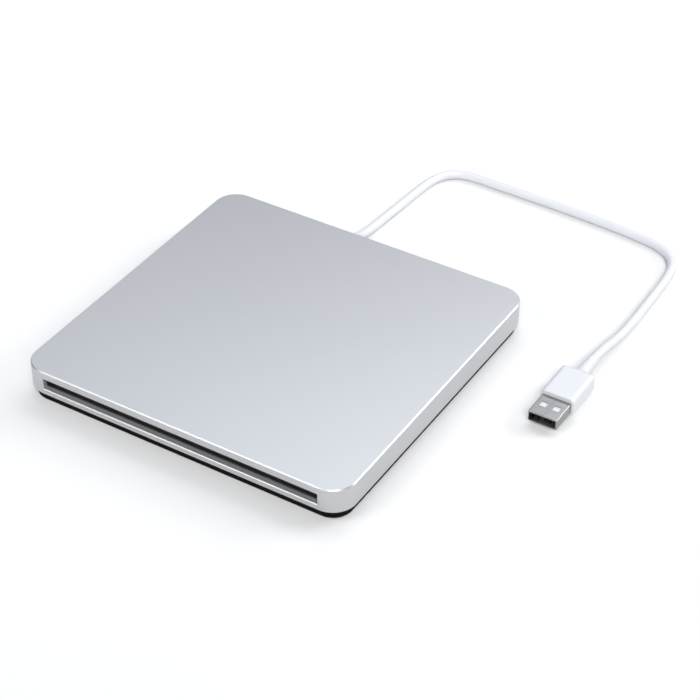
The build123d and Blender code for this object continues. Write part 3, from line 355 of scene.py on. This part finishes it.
def white_cord():
    """Soft white jacket with a matt skin."""
    s = Surface("white_cord", (0.61, 0.622, 0.65), 0.46, subsurface_weight=0.05)
    s.set("Subsurface Radius", (0.001, 0.001, 0.001))
    s.tint(s.noise(12 * MM, 3.0), (0.60, 0.612, 0.64), (0.625, 0.636, 0.663))
    s.gloss(s.noise(1.0 * MM, 3.0), 0.40, 0.54)
    s.relief(s.noise(0.35 * MM, 2.0), 0.006 * MM)
    return s


def white_mould():
    """Satin white moulding."""
    s = Surface("white_mould", (0.60, 0.612, 0.64), 0.36, subsurface_weight=0.05)
    s.set("Subsurface Radius", (0.001, 0.001, 0.001))
    s.tint(s.noise(8 * MM, 3.0), (0.59, 0.602, 0.63), (0.612, 0.625, 0.652))
    s.gloss(s.noise(0.8 * MM, 3.0), 0.30, 0.42)
    s.relief(s.noise(0.3 * MM, 2.0), 0.004 * MM)
    return s


def plug_steel():
    """Plated sheet, rolled along Y."""
    s = Surface("plug_steel", (0.30, 0.30, 0.295), 0.24, metallic=1.0)
    rolled = s.noise(0.12 * MM, 2.0, stretch=(1.0, 25.0, 1.0))
    s.tint(rolled, (0.285, 0.285, 0.28), (0.315, 0.315, 0.31))
    s.gloss(s.noise(0.5 * MM, 2.0), 0.22, 0.26)
    return s


def contact_gold():
    s = Surface("contact_gold", (0.83, 0.62, 0.28), 0.22, metallic=1.0)
    s.tint(s.noise(0.6 * MM, 3.0), (0.78, 0.56, 0.23), (0.88, 0.68, 0.34))
    s.relief(s.noise(0.1 * MM, 2.0), 0.002 * MM)
    return s


MATERIALS = [
    anodised_aluminium, black_plastic, black_rubber, felt, screw_steel, sheet_steel, ground_steel,
    rotor_steel, magnet, brass, copper, white_acetal, black_acetal, diecast, lens_glass, circuit_board,
    chip_plastic, white_cord, white_mould, plug_steel, contact_gold,
]


def dress_nodes(materials):
    """Gives each CAD node the material of its slot in the record."""
    for part in frame["record"]["subparts"]:
        node = nodes[part["node"]]
        node.data.materials.clear()
        node.data.materials.append(materials[part["material_slot"]])


# --- felt strips, all in millimetres ---------------------------------------------------------------
FELT_X = 61.1           # half the strips' length
FELT_Y = (-67.05, -66.47)
FELT_Z = ((6.35, 7.0), (11.5, 13.2))
FELT_EASE = 0.12        # bevel along the strips' long edges
FELT_SECTIONS = 62      # cross-sections, 2 mm apart
FIBRES = 1500           # on each strip
FIBRE_SIDES = 3
FIBRE_RADII = (0.025, 0.018)    # at the root and halfway
FIBRE_LENGTH = (0.08, 0.2)
FIBRE_SINK = 0.03       # how deep a root stands in the strip
FIBRE_MARGIN = (0.2, 0.06)      # from the strips' ends and sides to the nearest root
FIBRE_LEAN = (0.12, 0.05)       # greatest lean along X and Y
FIBRE_BEND = (0.05, 0.04)       # greatest bend halfway along X and Y


def felt_block(vertices, faces, z):
    """A strip with softened edges."""
    (front, back), ease = FELT_Y, FELT_EASE
    outline = [(front, z[0] + ease), (front + ease, z[0]), (back - ease, z[0]), (back, z[0] + ease),
               (back, z[1] - ease), (back - ease, z[1]), (front + ease, z[1]), (front, z[1] - ease)]
    first = len(vertices)
    for i in range(FELT_SECTIONS):
        x = -FELT_X + 2 * FELT_X * i / (FELT_SECTIONS - 1)
        vertices.extend((x, y, height) for y, height in outline)
    n = len(outline)
    for i in range(FELT_SECTIONS - 1):
        for k in range(n):
            a, b = first + i * n + k, first + i * n + (k + 1) % n
            faces.append((a, b, b + n, a + n))
    faces.append(tuple(first + k for k in reversed(range(n))))
    last = first + (FELT_SECTIONS - 1) * n
    faces.append(tuple(last + k for k in range(n)))


def either_way(draw, reach):
    return draw.uniform(-reach, reach)


def felt_fibre(vertices, faces, root, tip, draw):
    """Thin bent spike."""
    bend = Vector((either_way(draw, FIBRE_BEND[0]), either_way(draw, FIBRE_BEND[1]), 0.0))
    middle = root.lerp(tip, 0.5) + bend
    first, n = len(vertices), FIBRE_SIDES
    for place, r in zip((root, middle), FIBRE_RADII):
        for k in range(n):
            angle = 2 * math.pi * k / n
            vertices.append((place.x + r * math.cos(angle), place.y + r * math.sin(angle), place.z))
    vertices.append(tuple(tip))
    for k in range(n):
        following = (k + 1) % n
        faces.append((first + k, first + following, first + n + following, first + n + k))
        faces.append((first + n + k, first + n + following, first + 2 * n))
    faces.append(tuple(first + k for k in reversed(range(n))))


def make_felts(material):
    """Dust strips behind the slot, with a short pile along the edges that face the disc."""
    draw = random.Random(11)
    vertices, faces = [], []
    for z, side in zip(FELT_Z, (1, -1)):
        felt_block(vertices, faces, z)
        edge = z[1] if side > 0 else z[0]
        for _ in range(FIBRES):
            x = either_way(draw, FELT_X - FIBRE_MARGIN[0])
            y = draw.uniform(FELT_Y[0] + FIBRE_MARGIN[1], FELT_Y[1] - FIBRE_MARGIN[1])
            root = Vector((x, y, edge - side * FIBRE_SINK))
            length = draw.uniform(*FIBRE_LENGTH)
            lean = Vector((either_way(draw, FIBRE_LEAN[0]), either_way(draw, FIBRE_LEAN[1]), side * length))
            felt_fibre(vertices, faces, root, root + lean, draw)
    mesh = bpy.data.meshes.new("felt_pile")
    mesh.from_pydata([[x * MM for x in v] for v in vertices], [], faces)
    mesh.materials.append(material)
    pile = bpy.data.objects.new("felt_pile", mesh)
    bpy.context.scene.collection.objects.link(pile)
    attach(pile, "case")
    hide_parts("slot_felts")


# --- floor and light ------------------------------------------------------------------------------
FLOOR_HALF = 3.0
FLOOR_COLOUR = (0.74, 0.74, 0.74)


def make_floor():
    half = FLOOR_HALF
    mesh = bpy.data.meshes.new("floor")
    corners = [(-half, -half, 0), (half, -half, 0), (half, half, 0), (-half, half, 0)]
    mesh.from_pydata(corners, [], [(0, 1, 2, 3)])
    floor = bpy.data.objects.new("floor", mesh)
    bpy.context.scene.collection.objects.link(floor)
    s = Surface("floor_paint", FLOOR_COLOUR, 0.9, specular_ior_level=0.0)
    mesh.materials.append(s.material)


def place_light(data, place):
    """Adds the light at that place, turned to the origin."""
    light = bpy.data.objects.new(data.name, data)
    bpy.context.scene.collection.objects.link(light)
    light.location = place
    light.rotation_euler = (-Vector(place)).to_track_quat("-Z", "Y").to_euler()


def area_light(name, place, size, power, colour=(1.0, 1.0, 1.0)):
    data = bpy.data.lights.new(name, "AREA")
    data.shape = "RECTANGLE"
    data.size, data.size_y = size
    data.energy = power
    data.color = colour
    place_light(data, place)


def front_light(place, strength, spread):
    """A soft light from the front that is even over the whole floor; spread is in radians."""
    data = bpy.data.lights.new("front_high", "SUN")
    data.energy = strength
    data.angle = spread
    place_light(data, place)


def make_world():
    """Faint bluish studio light from all round, a little stronger above."""
    world = bpy.data.worlds.new("studio")
    bpy.context.scene.world = world
    world.use_nodes = True
    tree = world.node_tree
    background = tree.nodes["Background"]
    coordinates = tree.nodes.new("ShaderNodeTexCoord")
    split = tree.nodes.new("ShaderNodeSeparateXYZ")
    ramp = tree.nodes.new("ShaderNodeValToRGB")
    tree.links.new(coordinates.outputs["Generated"], split.inputs[0])
    tree.links.new(split.outputs["Z"], ramp.inputs["Fac"])
    tree.links.new(ramp.outputs["Color"], background.inputs["Color"])
    ramp.color_ramp.elements[0].color = (0.06, 0.066, 0.075, 1.0)
    ramp.color_ramp.elements[1].color = (0.09, 0.095, 0.10, 1.0)


def make_lights():
    make_world()
    cool, pale = (0.94, 0.985, 1.07), (0.985, 1.0, 1.025)
    area_light("back_left", (-0.6, 0.6, 1.3), (1.2, 0.8), 3.5, cool)
    area_light("back_middle", (-0.25, 0.75, 1.25), (1.4, 0.9), 3.5, cool)
    area_light("back_right", (0.2, 0.9, 1.2), (1.2, 0.8), 6.3, pale)
    front_light((0.7, -1.0, 1.1), 2.7, 0.55)
    area_light("front_left", (-0.6, -0.9, 0.97), (0.6, 0.4), 5.6)
    area_light("right_low", (0.9, 0.97, 0.6), (0.8, 0.3), 9.5)


bpy.context.scene.view_settings.view_transform = "Standard"
made = {make.__name__: make().material for make in MATERIALS}
make_camera()
make_cord(made["white_cord"])
dress_nodes(made)
make_felts(made["felt"])
make_floor()
make_lights()
